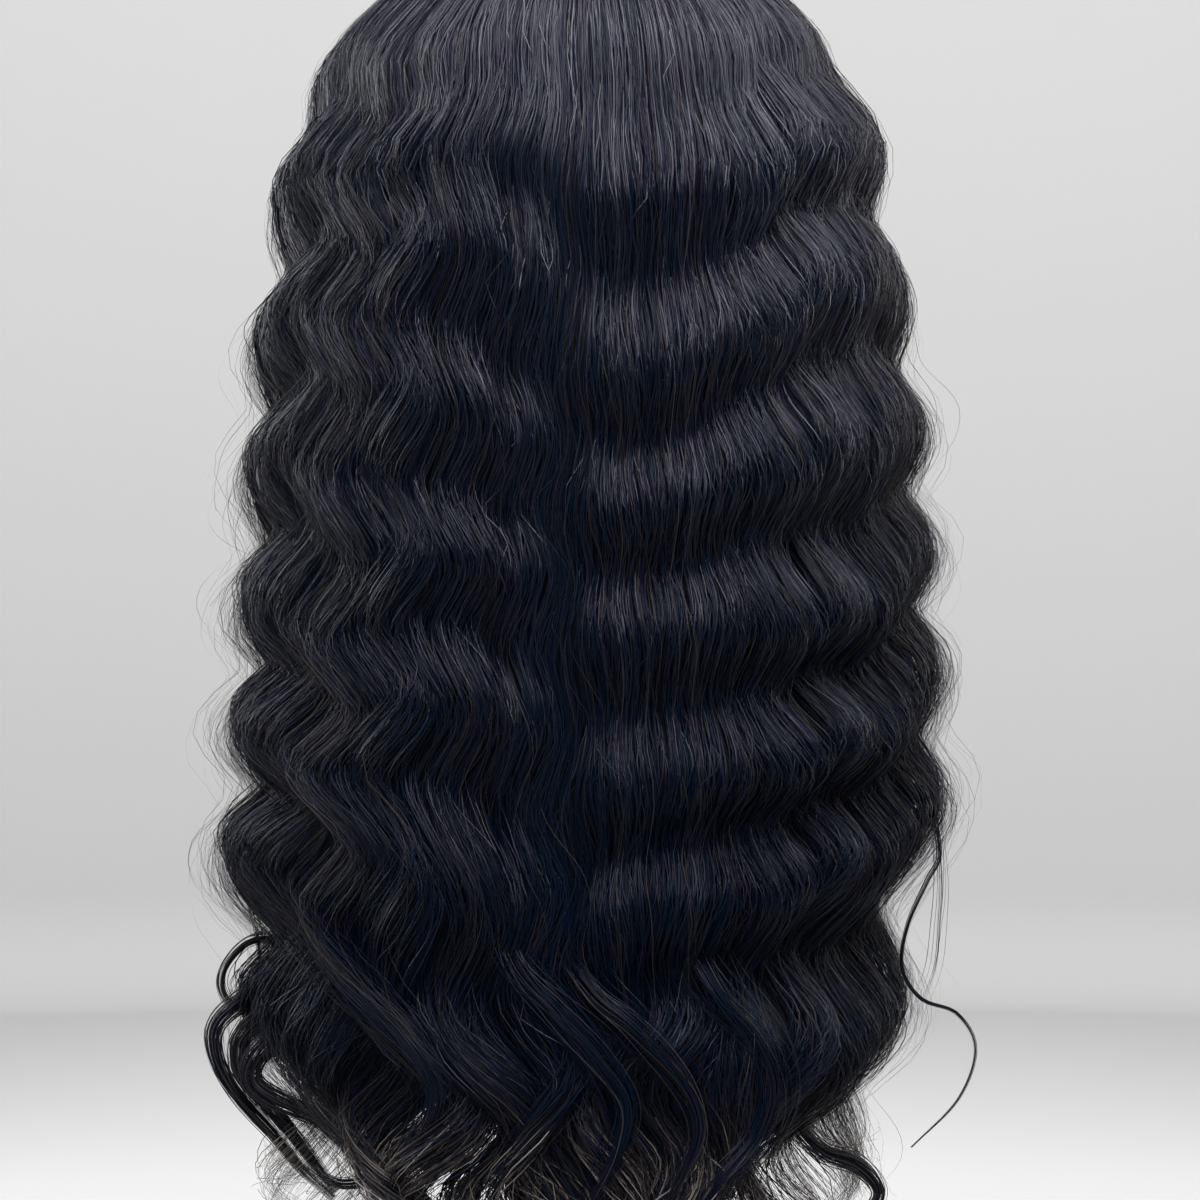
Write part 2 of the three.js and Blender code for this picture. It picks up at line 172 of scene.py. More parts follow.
def hairPoints(turn, angle, drop, depth):
    # still points in the hair: depth 0 on the inside and 1 on the outside, angle over the dome of the head
    f = hairForm
    sine, cosine = np.sin(np.radians(turn)), np.cos(np.radians(turn))
    front = np.clip((np.abs(turn) - f["crownTurn"]) / (f["edgeTurn"] - f["crownTurn"]), 0, 1)
    fan = np.clip(turn / f["crownTurn"], -1, 1) * math.pi / 2
    rootX = f["partHalfGap"] * np.sin(fan)
    rootY = mix(f["partBack"], f["partFront"], front) + f["partHalfGap"] * np.cos(fan)
    rootZ = np.sqrt(1 - rootX ** 2 - rootY ** 2)
    swing = np.sin(np.radians(angle))
    wayX, wayY = mix(rootX, sine, swing), mix(rootY, cosine, swing)
    wayZ = rootZ * np.cos(np.radians(angle))
    size = np.sqrt(wayX ** 2 + wayY ** 2 + wayZ ** 2)
    edge = np.clip((f["edgeTurn"] - np.abs(turn)) / f["edgeFade"], 0, 1)
    thin = mix(mix(f["crownRoot"], f["frontRoot"], front), 1, swing) * mix(f["edgeDepth"], 1, edge)
    drawn = smoothStep(f["thinningDrop"], tipDrop(turn), drop) * f["drawnShare"]
    share = mix(depth, 1, drawn) * thin
    section = lambda name: smoothColumn(hairSections, "drop", name, drop)
    wide = mix(section("inWide"), np.where(sine > 0, section("outRight"), section("outLeft")), share)
    reach = mix(section("inDeep"), np.where(cosine > 0, section("outBack"), section("outFront")), share)
    tall = f["insideTall"] + f["crownDepth"] * share
    return np.stack([-wayX / size * wide, wayY / size * reach, wayZ / size * tall - drop], -1)


def waveCount(turn, drop):
    # how many crests lie above a place, with the part of a wave below the last one
    rows = [{"turn": crestTurns, "drop": row} for row in waveCrests]
    crests = np.stack([smoothColumn(row, "turn", "drop", turn) for row in rows], -1)
    row = np.clip((drop[..., None] > crests).sum(-1) - 1, 0, len(waveCrests) - 2)
    low = np.take_along_axis(crests, row[..., None], -1)[..., 0]
    high = np.take_along_axis(crests, row[..., None] + 1, -1)[..., 0]
    return row - 1 + (drop - low) / (high - low)


def waveSwing(turn, drop, depth, shift, height, roundness):
    # the swing of the waves, with a share of it turned sideways so that the hair coils a little
    drift = crestDrift["by"] * np.sin(np.radians(crestDrift["turns"] * turn) + crestDrift["start"])
    phase = waveCount(turn, drop) * circle + drift + shift
    inner, outer = (smoothColumn(waveHeights, "drop", name, drop) for name in ("in", "out"))
    column = lambda name: smoothColumn(waveDirections, "turn", name, turn)
    belowTop, low, nearTip = (smoothStep(*waveDirections[name], drop) for name in ("top", "low", "tip"))
    towards = mix(mix(column("topTowards"), column("towards"), belowTop), column("tipTowards"), nearTip)
    towards = np.radians(towards)
    share = mix(mix(column("share"), column("lowShare"), low), column("tipShare"), nearTip)
    size = mix(inner, outer, depth) * height * mix(column("topShare"), share, belowTop)
    rounder = hairForm["crestRoundness"] * smoothStep(*hairForm["roundTurns"], np.abs(turn))
    along = size * (np.cos(phase) - rounder * np.cos(2 * phase))
    across = size * np.sin(phase) * roundness
    return np.stack([-along * np.sin(towards) - across * np.cos(towards),
                     along * np.cos(towards) - across * np.sin(towards), np.zeros_like(along)], -1)


def lockAt(turn):
    return np.clip(np.searchsorted(valleyTurns, turn) - 1, 0, hairForm["locks"] - 1)


def lockPlace(turn, drop):
    # which main lock a turn is in, and how far the lock has drawn together towards its tip
    lock = lockAt(turn)
    split = smoothColumn(lockSplits, "turn", "drop", lockMiddles[lock])
    opened = np.clip((drop - split) / (tipDrop(turn) - split), 0, hairForm["openLimit"])
    return lock, opened ** hairForm["openCurve"]


def drawnAside(turn, drop):
    total = np.zeros_like(turn)
    for sweep in sweeps:
        near = np.exp(-((turn - sweep["turn"]) / sweep["spread"]) ** 2)
        total = total + sweep["by"] * near * smoothStep(sweep["first"], sweep["last"], drop)
    return total


print("hair form ready")

# How a strand strays from its lock: three bends sideways and three in and out, the last one fine.
strandWander = {
    "long": (60, 110), "fine": (16, 32),                                    # mm
    "paces": (circle, 3.3, 6.28), "shares": (1, 0.6, 0.5),
    "liftPaces": (circle, 3.7, 6.28), "liftShares": (1, 0.6, 0.35), "lift": 0.8,
    "grownRun": (0, 160), "lowDrops": (330, 470), "lowGain": 2.2,       # none at the roots, most at the tips
    "radius": 118,
    "domeEase": 0.25, "domeReach": 1.65,        # spacing of points over the dome, and mm for a degree
    "tipCoil": 2.8, "tipCoilDrops": (340, 440), "sinkDrops": (140, 390),
}
waveSwell = {
    "shares": (0.35, 0.3), "drops": (31, 53), "turns": (4, -7),
    "evenTurn": 11, "evenSpread": 14, "evenShare": 0.5,     # the bands right of the middle stay even
}


def bends(run, lengths, paces, starts, shares):
    return sum(share * np.sin(run / length * pace + start)
               for length, pace, start, share in zip(lengths, paces, starts, shares))


def strandPaths(turn, depth, tip, shift, height, roundness, loose, first, domeRows, fallRows, sink=0):
    # centre lines of strands, one row of points for each strand, from an angle over the dome down to the tip
    form = strandWander
    strands = len(turn)
    base = hairForm["widestDrop"]
    share = np.linspace(0, 1, domeRows)
    domeAngles = mix(first[:, None], 90.0, (1 + form["domeEase"]) * share - form["domeEase"] * share ** 2)
    fall = base + (tip[:, None] - base) * np.linspace(0, 1, fallRows + 1)[1:]
    angle = np.concatenate([domeAngles, np.full((strands, fallRows), 90.0)], 1)
    level = np.concatenate([np.full((strands, domeRows), float(base)), fall], 1)
    run = angle * form["domeReach"] + level - base
    turnHere = np.broadcast_to(turn[:, None], level.shape)
    lock, opened = lockPlace(turnHere, level)
    middle = lockMiddles[lock]
    half = (valleyTurns[lock + 1] - valleyTurns[lock]) / 2
    off = np.clip(np.abs(turnHere - middle) / half, 0, 1)
    turnHere = mix(turnHere, middle, (1 - hairForm["tipWidth"]) * np.clip(opened, 0, 1))
    turnHere = turnHere + drawnAside(turnHere, level)
    # slow wandering of each strand
    a, b, c, d, e, g = rng.uniform(0, circle, (6, strands, 1))
    la, lb = rng.uniform(*form["long"], (2, strands, 1))
    fine = rng.uniform(*form["fine"], (strands, 1))
    wander = bends(run, (la, lb, fine), form["paces"], (a, b, e), form["shares"])
    lift = bends(run, (lb, la, fine), form["liftPaces"], (c, d, g), form["liftShares"])
    lowDown = smoothStep(*form["lowDrops"], level)
    grown = smoothStep(*form["grownRun"], run) * mix(1.0, form["lowGain"], lowDown)
    turnHere = turnHere + np.degrees(loose[:, None] * wander * grown / form["radius"])
    points = hairPoints(turnHere, angle, level, depth[:, None])
    dropHere = np.maximum(-points[..., 2], 0)
    coil = roundness[:, None] * mix(1.0, form["tipCoil"], smoothStep(*form["tipCoilDrops"], dropHere))
    swell = sum(share * np.sin(dropHere / drop + np.radians(turns * turnHere)) for share, drop, turns
                in zip(waveSwell["shares"], waveSwell["drops"], waveSwell["turns"]))
    fromEven = np.abs(turnHere - waveSwell["evenTurn"]) / waveSwell["evenSpread"]
    swell = swell * np.clip(fromEven - waveSwell["evenShare"], 0, 1)
    inHair = np.clip(depth[:, None], 0, 1)
    points = points + waveSwing(turnHere, dropHere, inHair, shift[:, None] + swell + lockShifts[lock],
                                height[:, None], coil)
    away = points.copy()
    away[..., 2] = np.maximum(points[..., 2] + base, 0)
    away /= np.linalg.norm(away, axis=-1, keepdims=True)
    # the locks stand proud of the valleys between them
    reliefDrop = np.where(angle < 90, base * angle / 90, level)
    ridge, valley = (smoothColumn(lockRelief, "drop", name, reliefDrop) for name in ("ridge", "valley"))
    proud = mix(ridge, valley, off) * inHair
    proud = proud + loose[:, None] * form["lift"] * lift * grown
    proud = proud - sink * smoothStep(*form["sinkDrops"], level)
    points = points + away * proud[..., None]
    by, pace, start = hairForm["sweepRhythm"]
    swept = hairForm["tipSweep"] * (np.sin(np.radians(middle)) + by * np.sin(pace * lock + start)) * opened
    turnRad = np.radians(turnHere)
    aside = np.stack([-np.cos(turnRad), -np.sin(turnRad), np.zeros_like(turnRad)], -1)
    return points + aside * swept[..., None], away


def tipTaper(form, down):
    return mix(1, form["tipWidth"], smoothStep(*form["tipRun"], down))


ribbonForm = {
    "rounding": 0.7, "edges": (0.05, 0.95),
    "bakeRows": 4, "bakeMargin": 0.02,      # strands lie side by side in four rows of one square, for baking
}


def ribbonMesh(name, groups, material, startsAt=0.0):
    # one mesh of flat ribbons with rounded shading, from groups of points, outward directions, widths, rolls
    # and tones; the strands start at a share of the hair's length
    form = ribbonForm
    places, normals, quads, uvs, tones = [], [], [], [], []
    start, column = 0, 0
    for points, away, width, roll, tone in groups:
        strands, rows = points.shape[:2]
        tangent = np.gradient(points, axis=1)
        tangent /= np.linalg.norm(tangent, axis=-1, keepdims=True) + tiny
        face = away - tangent * (away * tangent).sum(-1, keepdims=True)
        face /= np.linalg.norm(face, axis=-1, keepdims=True) + tiny
        side = np.cross(tangent, face)
        c, s = np.cos(roll)[..., None], np.sin(roll)[..., None]
        face, side = face * c + side * s, side * c - face * s
        half = side * (width / 2)[..., None]
        both = np.stack([points - half, points + half], 2)
        edge = side * form["rounding"]
        rounded = np.stack([face - edge, face + edge], 2)
        rounded /= np.linalg.norm(rounded, axis=-1, keepdims=True)
        places.append(both.reshape(-1, 3))
        normals.append(rounded.reshape(-1, 3))
        index = start + np.arange(strands * rows * 2).reshape(strands, rows, 2)
        corners = (index[:, :-1, 0], index[:, :-1, 1], index[:, 1:, 1], index[:, 1:, 0])
        quads.append(np.stack(corners, -1).reshape(-1, 4))
        u = column + np.arange(strands)[:, None, None] + np.array(form["edges"])
        v = np.linspace(startsAt, 1, rows)[None, :, None]
        uvs.append(np.stack(np.broadcast_arrays(u, v), -1).reshape(-1, 2))
        tones.append(np.repeat(np.broadcast_to(tone, (strands, rows)).reshape(-1), 2))
        start += strands * rows * 2
        column += strands
    places, normals = np.concatenate(places) * mm, np.concatenate(normals)
    quads, uvs, tones = np.concatenate(quads), np.concatenate(uvs), np.concatenate(tones)
    mesh = bpy.data.meshes.new(name)
    mesh.vertices.add(len(places))
    mesh.vertices.foreach_set("co", places.astype(np.float32).ravel())
    mesh.loops.add(quads.size)
    mesh.loops.foreach_set("vertex_index", quads.astype(np.int32).ravel())
    mesh.polygons.add(len(quads))
    mesh.polygons.foreach_set("loop_start", np.arange(0, quads.size, 4, dtype=np.int32))
    mesh.polygons.foreach_set("use_smooth", np.ones(len(quads), bool))
    layer = mesh.uv_layers.new(name="strandMap")
    layer.uv.foreach_set("vector", uvs[quads.ravel()].astype(np.float32).ravel())
    strand = np.floor(uvs[:, 0])
    bakeRows, margin = form["bakeRows"], form["bakeMargin"]
    bakeU = (np.floor(strand / bakeRows) + uvs[:, 0] - strand) / math.ceil(column / bakeRows)
    bakeV = (strand % bakeRows + margin + (1 - 2 * margin) * uvs[:, 1]) / bakeRows
    layer = mesh.uv_layers.new(name="OFBake")
    layer.uv.foreach_set("vector", np.stack([bakeU, bakeV], -1)[quads.ravel()].astype(np.float32).ravel())
    mesh.attributes.new("strandTone", "FLOAT", "POINT").data.foreach_set("value", tones.astype(np.float32))
    mesh.update(calc_edges=True)
    mesh.validate()
    mesh.normals_split_custom_set_from_vertices(normals.astype(np.float32))
    piece = bpy.data.objects.new(name, mesh)
    bpy.context.scene.collection.objects.link(piece)
    mesh.materials.append(material)
    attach(piece, "root")
    print(f"{name}: {column} strands, {2 * len(quads)} triangles")
    return piece


def newMaterial(name):
    material = bpy.data.materials.new(name)
    material.use_nodes = True
    nodes = material.node_tree.nodes
    return material, nodes, material.node_tree.links, nodes["Principled BSDF"]


def mapRange(nodes, fromRange, toRange):
    node = nodes.new("ShaderNodeMapRange")
    node.inputs["From Min"].default_value, node.inputs["From Max"].default_value = fromRange
    node.inputs["To Min"].default_value, node.inputs["To Max"].default_value = toRange
    return node


def strandStreaks(nodes, links, stretched, detail):
    # the place on a strand, and fine streaks along the strands
    place = nodes.new("ShaderNodeUVMap")
    place.uv_map = "strandMap"
    stretch = nodes.new("ShaderNodeMapping")
    stretch.inputs["Scale"].default_value = (*stretched, 1)
    streak = nodes.new("ShaderNodeTexNoise")
    streak.inputs["Scale"].default_value = 1.0
    streak.inputs["Detail"].default_value = detail
    links.new(place.outputs["UV"], stretch.inputs["Vector"])
    links.new(stretch.outputs["Vector"], streak.inputs["Vector"])
    return place, streak


hairFinish = {
    "coolBlack": (0.0006, 0.0032, 0.0105, 1), "black": (0.0013, 0.0036, 0.0098, 1),
    "warmBlack": (0.0108, 0.0081, 0.0082, 1), "greyBrown": (0.0280, 0.0240, 0.0235, 1),
    # tips: partly the hair's own lighter ends and partly a painted sheen on the low ends
    "tips": (0.1220, 0.1070, 0.0960, 1),
    "tones": {"coolBlack": 0.0, "black": 0.4, "warmBlack": 0.68, "greyBrown": 0.88, "tips": 1.0},
    "roughness": (0.21, 0.66), "anisotropy": 0.6, "sheenTint": (0.96, 0.91, 1, 1),
    "sheen": (0.26, 0.085), "sheenRun": (0.1, 0.68),    # glossy near the roots, duller towards the tips
    "sheenSpread": (0.2, 1.8),      # some strands shine more than others
    "streaks": (2.5, 10),           # across a strand and down its length
    "streakDetail": 2, "streakRange": (0.3, 0.7),
}


def makeHairFinish():
    values = hairFinish
    finish, nodes, links, shader = newMaterial("blueBlackHair")
    tone = nodes.new("ShaderNodeAttribute")
    tone.attribute_name = "strandTone"
    ramp = nodes.new("ShaderNodeValToRGB")
    while len(ramp.color_ramp.elements) < len(values["tones"]):
        ramp.color_ramp.elements.new(0.5)
    for element, (key, at) in zip(ramp.color_ramp.elements, values["tones"].items()):
        element.position, element.color = at, values[key]
    links.new(tone.outputs["Fac"], ramp.inputs["Fac"])
    links.new(ramp.outputs["Color"], shader.inputs["Base Color"])
    place, streak = strandStreaks(nodes, links, values["streaks"], values["streakDetail"])
    rough = mapRange(nodes, values["streakRange"], values["roughness"])
    links.new(streak.outputs["Fac"], rough.inputs["Value"])
    links.new(rough.outputs["Result"], shader.inputs["Roughness"])
    across = nodes.new("ShaderNodeTangent")
    across.direction_type, across.uv_map = "UV_MAP", "strandMap"
    links.new(across.outputs["Tangent"], shader.inputs["Tangent"])
    shader.inputs["Anisotropic"].default_value = values["anisotropy"]
    # shine falls along the length and differs from strand to strand
    length = nodes.new("ShaderNodeSeparateXYZ")
    sheen = mapRange(nodes, values["sheenRun"], values["sheen"])
    links.new(place.outputs["UV"], length.inputs["Vector"])
    links.new(length.outputs["Y"], sheen.inputs["Value"])
    strand = nodes.new("ShaderNodeMath")
    strand.operation = "FLOOR"
    uneven = nodes.new("ShaderNodeTexWhiteNoise")
    uneven.noise_dimensions = "1D"
    spread = mapRange(nodes, (0, 1), values["sheenSpread"])
    shine = nodes.new("ShaderNodeMath")
    shine.operation = "MULTIPLY"
    links.new(length.outputs["X"], strand.inputs[0])
    links.new(strand.outputs["Value"], uneven.inputs["W"])
    links.new(uneven.outputs["Value"], spread.inputs["Value"])
    links.new(sheen.outputs["Result"], shine.inputs[0])
    links.new(spread.outputs["Result"], shine.inputs[1])
    links.new(shine.outputs["Value"], shader.inputs["Specular IOR Level"])
    shader.inputs["Specular Tint"].default_value = values["sheenTint"]
    return finish


blueBlackHair = makeHairFinish()

# Five falls of hair. Each takes the strands of its own turns, between the same valleys as its solid.
hairFalls = {
    "hairFrontLeft":  {"node": "hair_front_left", "valleys": (0, 3), "strands": 420},
    "hairSideLeft":   {"node": "hair_side_left", "valleys": (3, 8), "strands": 880},
    "hairBack":       {"node": "hair_back", "valleys": (8, 14), "strands": 960},
    "hairSideRight":  {"node": "hair_side_right", "valleys": (14, 19), "strands": 880},
    "hairFrontRight": {"node": "hair_front_right", "valleys": (19, 22), "strands": 420},
}
strandForm = {
    "tressWidth": 4.5, "fewestTresses": 4,              # degrees
    "tressScatter": 0.12, "strandScatter": 0.42, "edgeGap": 0.02,
    "tressDepth": (-0.06, 0.01), "strandDepth": 0.16, "depthCurve": 1.4,
    "tipScatter": 6, "shortShare": 0.22, "shortBy": (8, 60), "lowestTip": 522,      # mm
    "width": (0.24, 0.54),                              # mm
    "loose": 0.4, "looseScatter": 0.45,                 # mm
    "frizzy": 0.3, "frizzyGain": 3.0,                   # share of strands that stray further
    "tressShift": 0.26, "strandShift": 0.3,             # unevenness of the waves' phase
    "tressHeight": 0.12, "strandHeight": 0.05,
    "coil": (0.14, 0.3), "coilRhythm": (3.1, 1),        # which way a lock coils
    "sideCoil": 0.75, "sideScatter": (0.8, 1.2), "sideTurns": (62, 95),     # more at the sides of the head
    "partShare": 0.5, "laterRoots": (3, 40),            # half start at the part, the rest a little further on
    "rootWidth": 0.5, "rootRun": (0, 0.14), "tipWidth": 0.2, "tipRun": (0.84, 1),
    "roll": 0.5, "rollSwing": 0.25, "rollPace": (4, 11),
    "domeRows": 16, "fallRows": 88,
}
strandTones = {
    "cool": (1.2, 4.8), "warmest": 0.85,
    # the browner tone at the sides is a painted backlit glow, as if light shone through the hair's edges
    "sideTurns": (48, 106), "rightAhead": 12, "paintedBacklitWarmth": (0.12, 0.66),   # browner towards the sides
    # lighter tips: partly the hair's own lighter ends and partly a painted sheen low down
    "tipShare": 0.7, "tipLightAndSheen": (0.45, 1.0), "tipDrops": (384, 442),
}


def makeFall(name, fall):
    low, high = (valleyTurns[k] for k in fall["valleys"])
    form, tones = strandForm, strandTones
    count = fall["strands"]
    tresses = max(form["fewestTresses"], int(round((high - low) / form["tressWidth"])))
    tress = rng.integers(0, tresses, count)
    centre = low + (np.arange(tresses) + 0.5) * (high - low) / tresses
    centre = centre + rng.normal(0, form["tressScatter"], tresses) * form["tressWidth"]
    tressDepth = rng.uniform(*form["tressDepth"], tresses)
    tressShift = rng.normal(0, form["tressShift"], tresses)
    tressHeight = rng.normal(1, form["tressHeight"], tresses)
    tressTip = rng.normal(0, form["tipScatter"], tresses)
    spread = rng.normal(0, form["strandScatter"], count)
    turn = np.clip(centre[tress] + spread * form["tressWidth"], low + form["edgeGap"], high - form["edgeGap"])
    depth = 1.0 + tressDepth[tress] - form["strandDepth"] * rng.uniform(0, 1, count) ** form["depthCurve"]
    lock = lockAt(turn)
    tip = tipDrop(turn) + hairForm["tipUnevenness"] * np.sin(hairForm["tipRhythm"] * lock)
    tip = tip + tressTip[tress] + rng.normal(0, form["tipScatter"], count)
    short = np.where(rng.random(count) < form["shortShare"], rng.uniform(*form["shortBy"], count), 0)
    tip = np.minimum(tip - short, form["lowestTip"])
    shift = tressShift[tress] + rng.normal(0, form["strandShift"], count)
    height = tressHeight[tress] * rng.normal(1, form["strandHeight"], count)
    atSide = smoothStep(*form["sideTurns"], np.abs(turn))
    pace, start = form["coilRhythm"]
    coil = np.where(np.sin(pace * lock + start) > 0, -1, 1) * rng.uniform(*form["coil"], count) * (1 - atSide)
    coil = coil + np.sign(turn) * form["sideCoil"] * atSide * rng.uniform(*form["sideScatter"], count)
    loose = form["loose"] * rng.lognormal(0, form["looseScatter"], count)
    loose = loose * np.where(rng.random(count) < form["frizzy"], form["frizzyGain"], 1.0)
    first = np.where(rng.random(count) < form["partShare"], 0.0, rng.uniform(*form["laterRoots"], count))
    points, away = strandPaths(turn, depth, tip, shift, height, coil, loose, first,
                               form["domeRows"], form["fallRows"])
    down = np.linspace(0, 1, points.shape[1])
    width = rng.uniform(*form["width"], count)[:, None]
    width = width * mix(form["rootWidth"], 1, smoothStep(*form["rootRun"], down))
    width = width * tipTaper(form, down)
    roll = rng.normal(0, form["roll"], (count, 1))
    roll = roll + form["rollSwing"] * np.sin(down * rng.uniform(*form["rollPace"], (count, 1)))
    # painted backlit glow: strands towards the sides are browner, as if light shone through them
    paintedBacklitSide = smoothStep(*tones["sideTurns"], np.where(turn > 0, turn + tones["rightAhead"], -turn))
    warm = rng.beta(*tones["cool"], count) + rng.uniform(*tones["paintedBacklitWarmth"], count) * paintedBacklitSide
    warm = np.minimum(warm, tones["warmest"])
    # lighter tips: partly the hair's own lighter ends and partly a painted sheen on the low ends
    lightTipsAndSheen = np.where(rng.random(count) < tones["tipShare"], rng.uniform(*tones["tipLightAndSheen"], count), 0)
    tone = warm[:, None] + lightTipsAndSheen[:, None] * smoothStep(*tones["tipDrops"], -points[..., 2])
    piece = ribbonMesh(name, [(points, away, width, roll, np.clip(tone, 0, 1))], blueBlackHair)
    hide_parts(fall["node"])


for fallName, fallValues in hairFalls.items():
    makeFall(fallName, fallValues)

# Dark mass of hair under the strands, so that no daylight shows through the falls. Its colour is darker than
# the strands', a painted shade for the deep gaps between them.
massForm = {
    "outer": 0.78, "inner": 0.2, "turnStep": 2.2, "edgeGap": 1.0, "root": 3, "height": 0.9,
    "domeRows": 13, "fallRows": 54, "sink": 6,
    "point": 46, "splitGap": 8, "tipGap": 46,       # it ends in a point under each lock
    "fillTurn": -27, "fillSpread": 14, "fillBy": 24,
}
massFinish = {
    # colours darker than the hair's own: painted shade in the gaps between strands
    "dark": (0.0006, 0.0009, 0.0020, 1), "light": (0.0016, 0.0022, 0.0042, 1),
    "streaks": (520, 7), "streakDetail": 4, "bump": 0.6, "bumpHeight": 0.0008,
    "roughness": 0.7, "sheen": 0.12,
}


def makeMassFinish():
    values = massFinish
    finish, nodes, links, shader = newMaterial("underHairPaintedShade")
    streak = strandStreaks(nodes, links, values["streaks"], values["streakDetail"])[1]
    ramp = nodes.new("ShaderNodeValToRGB")
    ramp.color_ramp.elements[0].color, ramp.color_ramp.elements[1].color = values["dark"], values["light"]
    links.new(streak.outputs["Fac"], ramp.inputs["Fac"])
    links.new(ramp.outputs["Color"], shader.inputs["Base Color"])
    bump = nodes.new("ShaderNodeBump")
    bump.inputs["Strength"].default_value = values["bump"]
    bump.inputs["Distance"].default_value = values["bumpHeight"]
    links.new(streak.outputs["Fac"], bump.inputs["Height"])
    links.new(bump.outputs["Normal"], shader.inputs["Normal"])
    shader.inputs["Roughness"].default_value = values["roughness"]
    shader.inputs["Specular IOR Level"].default_value = values["sheen"]
    return finish


def makeMass():
    form = massForm
    edge = hairForm["edgeTurn"] - form["edgeGap"]
    turns = np.arange(-edge, edge + 0.01, form["turnStep"])
    count = len(turns)
    still, plain = np.zeros(count), np.ones(count)
    off = np.abs(turns - lockMiddles[lockAt(turns)]) / (lockStep / 2)
    tip = smoothColumn(lockSplits, "turn", "drop", turns) - form["splitGap"]
    tip = tip + form["point"] * np.clip(1 - off ** 2, 0, 1)
    tip = tip + form["fillBy"] * np.exp(-((turns - form["fillTurn"]) / form["fillSpread"]) ** 2)
    tip = np.minimum(tip, tipDrop(turns) - form["tipGap"])
    sheets = [strandPaths(turns, plain * depth, tip, still, plain * form["height"], still, still,
                          plain * form["root"], form["domeRows"], form["fallRows"], sink)[0]
              for depth, sink in ((form["outer"], form["sink"]), (form["inner"], 0))]
    rows = sheets[0].shape[1]
    places = np.stack(sheets).reshape(-1, 3) * mm
    out, inn = np.arange(2 * count * rows).reshape(2, count, rows)
    quads = [np.stack([out[:-1, :-1], out[:-1, 1:], out[1:, 1:], out[1:, :-1]], -1).reshape(-1, 4),
             np.stack([inn[:-1, :-1], inn[1:, :-1], inn[1:, 1:], inn[:-1, 1:]], -1).reshape(-1, 4)]
    seams = ((out[:, 0], inn[:, 0]), (inn[:, -1], out[:, -1]), (inn[0], out[0]), (out[-1], inn[-1]))
    for one, other in seams:
        quads.append(np.stack([one[:-1], one[1:], other[1:], other[:-1]], -1))
    mesh = bpy.data.meshes.new("hairMass")
    mesh.from_pydata(places.tolist(), [], np.concatenate(quads).tolist())
    mesh.polygons.foreach_set("use_smooth", np.ones(len(mesh.polygons), bool))
    layer = mesh.uv_layers.new(name="strandMap")
    u = np.broadcast_to((np.arange(count) / count)[:, None], (count, rows))
    v = np.broadcast_to(np.linspace(0, 1, rows), (count, rows))
    uv = np.tile(np.stack([u, v], -1).reshape(-1, 2), (2, 1))
    corners = np.empty(len(mesh.loops), np.int32)
    mesh.loops.foreach_get("vertex_index", corners)
    layer.uv.foreach_set("vector", uv[corners].astype(np.float32).ravel())
    mesh.update()
    piece = bpy.data.objects.new("hairMass", mesh)
    bpy.context.scene.collection.objects.link(piece)
    mesh.materials.append(makeMassFinish())
    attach(piece, "root")
    print("hairMass:", 2 * len(mesh.polygons), "triangles")


makeMass()

# Strands on the inside of the falls, seen from the front and from below.
insideForm = {
    "strands": 440, "edgeGap": 1, "depth": (0.0, 0.14), "shorter": (0, 40), "shift": 0.2, "coil": (-0.2, 0.2),
    "loose": 0.5, "roots": (60, 80), "domeRows": 6, "fallRows": 56,
    "width": (0.6, 1.1), "tipWidth": 0.2, "tipRun": (0.85, 1), "roll": 0.3, "tone": (1.6, 4.2),
}


def makeInside():
    form = insideForm
    count = form["strands"]
    edge = hairForm["edgeTurn"] - form["edgeGap"]
    turn = rng.uniform(-edge, edge, count)
    plain = np.ones(count)
    depth = rng.uniform(*form["depth"], count)
    tip = tipDrop(turn) - rng.uniform(*form["shorter"], count)
    shift = rng.normal(0, form["shift"], count)
    coil = rng.uniform(*form["coil"], count)
    first = rng.uniform(*form["roots"], count)
    points, away = strandPaths(turn, depth, tip, shift, plain, coil, plain * form["loose"], first,
                               form["domeRows"], form["fallRows"])
    down = np.linspace(0, 1, points.shape[1])
    width = rng.uniform(*form["width"], count)[:, None] * tipTaper(form, down)
    roll = rng.normal(0, form["roll"], (count, 1))
    tone = rng.beta(*form["tone"], count)[:, None]
    ribbonMesh("hairInside", [(points, -away, width, roll, tone)], blueBlackHair)


makeInside()

